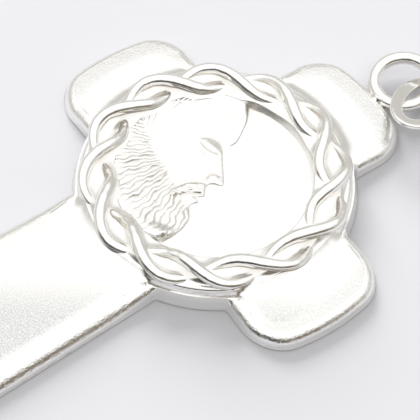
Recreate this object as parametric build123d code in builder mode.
from build123d import *
import os
from math import atan, cos, degrees, pi, radians, sin

# Cross pendant, lying on its back.  X runs across the arms, +Y towards the eye, +Z out of the
# front.  The origin is on the flat back, under the centre of the medallion.  Millimetres.

# driving dimensions: the cross casting
PLATE_THICKNESS = 1.25
WALL_SPREAD = 0.2             # how far each arm's wall leans out from face to back
UPPER_ARM_REACH = 14.5        # centre of the medallion to the arm's end, at the face
SIDE_ARM_REACH = 14.3
LONG_ARM_REACH = 30.5
SIDE_ARM_SKEW = 1.0           # the side arms stand this far off square
ARM_ROOT_HALF_WIDTH = 4.95
SHORT_SHOULDER_HALF_WIDTH = 5.25
LONG_SHOULDER_HALF_WIDTH = 5.65
END_BULGE = 0.9               # height of the convex arc across an arm's end
SHOULDER_RADIUS = 2.2
ARM_EDGE_RADIUS = 0.4

# driving dimensions: the medallion
MEDALLION_TOP = 1.8
MEDALLION_BASE_RADIUS = 10.45
MEDALLION_TOP_RADIUS = 10.0
DISH_TOP_RADIUS = 7.0
DISH_FLOOR_RADIUS = 6.5
SEAT_RADIUS = 7.85
SEAT_FLOOR = 0.6
FIELD_THICKNESS = 0.35
RIM_EDGE_RADIUS = 0.22

# driving dimensions: the twisted wreath
STRAND_RADIUS = 0.36
WREATH_RADIUS = 8.6
TWIST_HALF_WIDTH = 0.98       # sideways swing of each strand
TWIST_HALF_HEIGHT = 0.38      # up and down swing of each strand
TWIST_TURNS = 6
STRAND_SINK = 0.3             # depth of the lowest turns in the rim
STRAND_CORNERS = 4 * TWIST_TURNS
STRAND_BEND_RADIUS = 1.6

# driving dimensions: the head relief
HEAD_TILT = 23.0              # the head leans back by this angle
BROW_X = -1.55
BROW_Y = 3.0
FACE_THIRD = 3.95              # hairline to brow, brow to nose base, nose base to chin
RELIEF_TOP = 2.1
RELIEF_RADIUS = 6.45          # the relief stops here, just inside the dish's wall
RELIEF_EDGE = 0.3

# driving dimensions: the eye and the hanging link
EYE_WIRE_RADIUS = 0.495
EYE_RADIUS = 2.22             # to the middle of the wire
EYE_TILT = 7.2                # the eye is bent forward by this angle
EYE_OFFSET = 0.825            # the eye was soldered a little to one side
SHANK_RADIUS = 0.38
SHANK_HEIGHT = 0.8
SHANK_DEPTH = 0.6             # length of the shank inside the arm
EYE_ROOT = 0.3                # the shank bends up this far inside the arm's end
SHANK_LENGTH = 0.64           # bend of the shank to the middle of the eye's wire
LINK_HALF_LENGTH = 3.854
LINK_HALF_WIDTH = 2.205
LINK_STRIP = 0.98
LINK_THICKNESS = 0.38
LINK_EDGE_RADIUS = 0.12
LINK_SIDE_POINT = (1.4, 15.868, 1.614)
LINK_HEADING = 67.35          # the link leads away at this angle from +Y towards +X
LINK_RISE = -2.44
LINK_ROLL = 19.77             # its far end is up on the eye, its near end is down by the table

field_top = SEAT_FLOOR + FIELD_THICKNESS
wall_angle = degrees(atan(WALL_SPREAD / PLATE_THICKNESS))
medallion_lean = (MEDALLION_BASE_RADIUS - MEDALLION_TOP_RADIUS) / MEDALLION_TOP
boss_top_radius = MEDALLION_BASE_RADIUS - medallion_lean * PLATE_THICKNESS

os.makedirs("parts", exist_ok=True)


# Cross plate: four arms on a round boss, with a seat for the field and a hole for the eye's shank.
# Each arm is drawn at its back and drafted inwards towards the front.
with BuildPart() as cross_plate:
    for angle, reach, shoulder_half_width in (
        (0, UPPER_ARM_REACH, SHORT_SHOULDER_HALF_WIDTH),
        (90 - SIDE_ARM_SKEW, SIDE_ARM_REACH, SHORT_SHOULDER_HALF_WIDTH),
        (-90 - SIDE_ARM_SKEW, SIDE_ARM_REACH, SHORT_SHOULDER_HALF_WIDTH),
        (180, LONG_ARM_REACH, LONG_SHOULDER_HALF_WIDTH),
    ):
        shoulder = reach + WALL_SPREAD - END_BULGE
        half = shoulder_half_width + WALL_SPREAD
        root = ARM_ROOT_HALF_WIDTH + WALL_SPREAD
        with BuildSketch(Plane.XY.rotated((0, 0, angle))):
            with BuildLine():
                Polyline((-half, shoulder), (-root, 0), (root, 0), (half, shoulder))
                ThreePointArc((half, shoulder), (0, shoulder + END_BULGE), (-half, shoulder))
            make_face()
            fillet(vertices().sort_by(Axis.Y)[-2:], SHOULDER_RADIUS)
        extrude(amount=PLATE_THICKNESS, taper=wall_angle)
    fillet(edges().group_by(Axis.Z)[-1], ARM_EDGE_RADIUS)
    with BuildSketch(Plane.XZ):
        with BuildLine():
            Polyline(
                (0, 0),
                (MEDALLION_BASE_RADIUS, 0),
                (boss_top_radius, PLATE_THICKNESS),
                (0, PLATE_THICKNESS),
                close=True,
            )
        make_face()
    revolve(axis=Axis.Z)
    with BuildSketch(Plane.XY.offset(SEAT_FLOOR)):
        Circle(SEAT_RADIUS)
    extrude(amount=PLATE_THICKNESS, mode=Mode.SUBTRACT)
    shank_hole = Plane((EYE_OFFSET, UPPER_ARM_REACH - SHANK_DEPTH, SHANK_HEIGHT), z_dir=(0, 1, 0))
    with BuildSketch(shank_hole):
        Circle(SHANK_RADIUS)
    extrude(amount=3 * SHANK_DEPTH, mode=Mode.SUBTRACT)
cross_plate.part.label = "cross_plate"
export_step(cross_plate.part, "parts/cross_plate.step")

# Medallion field: the smooth disc in the seat
with BuildPart() as medallion_field:
    with BuildSketch(Plane.XY.offset(SEAT_FLOOR)):
        Circle(SEAT_RADIUS)
    extrude(amount=FIELD_THICKNESS)
medallion_field.part.label = "medallion_field"
export_step(medallion_field.part, "parts/medallion_field.step")

# Medallion rim: a turned ring that overlaps the boss and holds the field down
with BuildPart() as medallion_rim:
    with BuildSketch(Plane.XZ):
        with BuildLine():
            ThreePointArc(
                (DISH_FLOOR_RADIUS, field_top),
                (DISH_FLOOR_RADIUS + 0.36, field_top + 0.3),
                (DISH_TOP_RADIUS, MEDALLION_TOP),
            )
            Polyline(
                (DISH_TOP_RADIUS, MEDALLION_TOP),
                (MEDALLION_TOP_RADIUS, MEDALLION_TOP),
                (boss_top_radius, PLATE_THICKNESS),
                (SEAT_RADIUS, PLATE_THICKNESS),
                (SEAT_RADIUS, field_top),
                (DISH_FLOOR_RADIUS, field_top),
            )
        make_face()
    revolve(axis=Axis.Z)
    top_rings = edges().filter_by(GeomType.CIRCLE).group_by(Axis.Z)[-1]
    fillet(top_rings.sort_by(SortBy.RADIUS)[-1], RIM_EDGE_RADIUS)
medallion_rim.part.label = "medallion_rim"
export_step(medallion_rim.part, "parts/medallion_rim.step")


# Crown strands: two wires that wind round each other and close on themselves.  Each is bent from
# straight runs and arcs, swept in two halves that meet in the middle of a run.
def strand_point(corner, side):
    """A corner of one strand's route; side is 1 or -1 and picks the strand."""
    turn_angle = 2 * pi * corner / STRAND_CORNERS
    swing = side * cos(TWIST_TURNS * turn_angle)
    lift = -side * sin(TWIST_TURNS * turn_angle)
    middle = MEDALLION_TOP + STRAND_RADIUS + TWIST_HALF_HEIGHT - STRAND_SINK
    radius = WREATH_RADIUS + TWIST_HALF_WIDTH * swing
    return Vector(radius * cos(turn_angle), radius * sin(turn_angle), middle + TWIST_HALF_HEIGHT * lift)


for strand_name, side in (("crown_strand_a", 1), ("crown_strand_b", -1)):
    with BuildPart() as strand:
        for first in (0, STRAND_CORNERS // 2):
            corners = [strand_point(first + step, side) for step in range(-1, STRAND_CORNERS // 2 + 1)]
            corners[0] = (corners[0] + corners[1]) / 2
            corners[-1] = (corners[-2] + corners[-1]) / 2
            with BuildLine() as route:
                FilletPolyline(*corners, radius=STRAND_BEND_RADIUS)
            half_route = route.wires()[0]
            with BuildSketch(Plane(half_route @ 0, z_dir=half_route % 0)):
                Circle(STRAND_RADIUS)
            sweep(path=half_route)
    strand.part.label = strand_name
    export_step(strand.part, f"parts/{strand_name}.step")


# Head relief: a bearded head in profile, cut off by the edge of the dish
head_plane = Plane((BROW_X, BROW_Y, field_top)).rotated((0, 0, HEAD_TILT))
with BuildPart() as head_relief:
    with BuildSketch(head_plane):
        with BuildLine():
            t = FACE_THIRD
            face = Spline(
                (-1.0 * t, 1.6 * t),
                (-0.10 * t, 0.7 * t),
                (0, 0),
                (0.36 * t, -0.85 * t),
                (0.10 * t, -1.05 * t),
                (0.16 * t, -1.45 * t),
                (0.18 * t, -2.0 * t),
                (-0.1 * t, -2.6 * t),
            )
            Polyline(face @ 1, (-1.0 * t, -2.9 * t), (-2.6 * t, -1.5 * t), (-2.6 * t, 0.6 * t), face @ 0)
        make_face()
    extrude(amount=RELIEF_TOP - field_top)
    with BuildSketch(Plane.XY.offset(field_top)):
        Circle(RELIEF_RADIUS)
    extrude(amount=RELIEF_TOP - field_top, mode=Mode.INTERSECT)
    chamfer(faces().sort_by(Axis.Z)[-1].edges(), RELIEF_EDGE)
head_relief.part.label = "head_relief"
export_step(head_relief.part, "parts/head_relief.step")

# Eye ring: round wire bent to a ring, with a shank that leaves the arm's end and bends up with it
shank_bend = Vector(EYE_OFFSET, UPPER_ARM_REACH - EYE_ROOT, SHANK_HEIGHT)
eye_reach = SHANK_LENGTH + EYE_RADIUS
eye_axis = Vector(0, cos(radians(EYE_TILT)), sin(radians(EYE_TILT)))
with BuildPart() as eye_ring:
    with Locations(Plane(shank_bend + eye_axis * eye_reach).rotated((EYE_TILT, 0, 0))):
        Torus(EYE_RADIUS, EYE_WIRE_RADIUS)
    with BuildSketch(Plane(shank_bend, z_dir=eye_axis)):
        Circle(SHANK_RADIUS)
    extrude(amount=SHANK_LENGTH)
    with BuildSketch(Plane((EYE_OFFSET, UPPER_ARM_REACH - SHANK_DEPTH, SHANK_HEIGHT), z_dir=(0, 1, 0))):
        Circle(SHANK_RADIUS)
    extrude(amount=SHANK_DEPTH - EYE_ROOT)
    with Locations(shank_bend):
        Sphere(SHANK_RADIUS)
eye_ring.part.label = "eye_ring"
export_step(eye_ring.part, "parts/eye_ring.step")

# Hanging link: an oval ring of flat strip, loose in the eye.  One end of the oval lies over the
# eye's wire and the other end under it.
heading, rise, roll = radians(LINK_HEADING), radians(LINK_RISE), radians(LINK_ROLL)
ahead = Vector(sin(heading) * cos(rise), cos(heading) * cos(rise), sin(rise))
right = Vector(cos(heading), -sin(heading), 0)
down_end = right * cos(roll) + right.cross(ahead) * sin(roll)
link_middle = Vector(LINK_SIDE_POINT) + ahead * LINK_HALF_WIDTH
with BuildPart() as hanging_link:
    with BuildSketch(Plane(link_middle, x_dir=down_end, z_dir=down_end.cross(ahead))):
        Ellipse(LINK_HALF_LENGTH, LINK_HALF_WIDTH)
        Ellipse(LINK_HALF_LENGTH - LINK_STRIP, LINK_HALF_WIDTH - LINK_STRIP, mode=Mode.SUBTRACT)
    extrude(amount=LINK_THICKNESS / 2, both=True)
    fillet(edges(), LINK_EDGE_RADIUS)
hanging_link.part.label = "hanging_link"
export_step(hanging_link.part, "parts/hanging_link.step")
